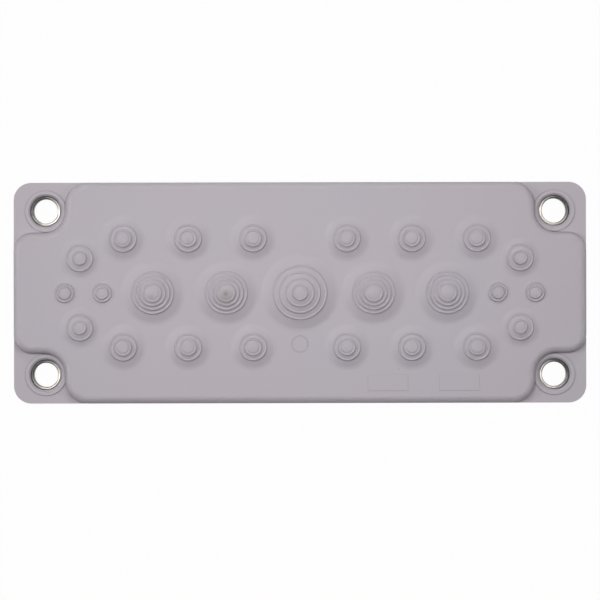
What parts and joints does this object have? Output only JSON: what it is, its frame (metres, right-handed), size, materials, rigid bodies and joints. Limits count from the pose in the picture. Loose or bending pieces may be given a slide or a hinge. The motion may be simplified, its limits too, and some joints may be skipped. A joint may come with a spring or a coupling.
{
  "type": "cable entry plate",
  "caption": "Long flat elastomer plate with ringed cone membranes that are pierced for cables and seal round them, and metal screw sleeves in its corner lugs.",
  "frame": {"origin": "centre of the back face, which lies on the surface", "axes": "+X along the plate's length, +Y across it towards the top of the picture, +Z out of the front, the way the membranes point"},
  "size_m": [0.245, 0.0944, 0.0155],
  "materials": {
    "elastomer": "matt moulded light grey elastomer",
    "sleeve_metal": "bright plated turned steel"
  },
  "bodies": {
    "root": {"entry_plate": "elastomer", "sleeve_front_left": "sleeve_metal", "sleeve_front_right": "sleeve_metal", "sleeve_rear_left": "sleeve_metal", "sleeve_rear_right": "sleeve_metal"}
  },
  "joints": []
}
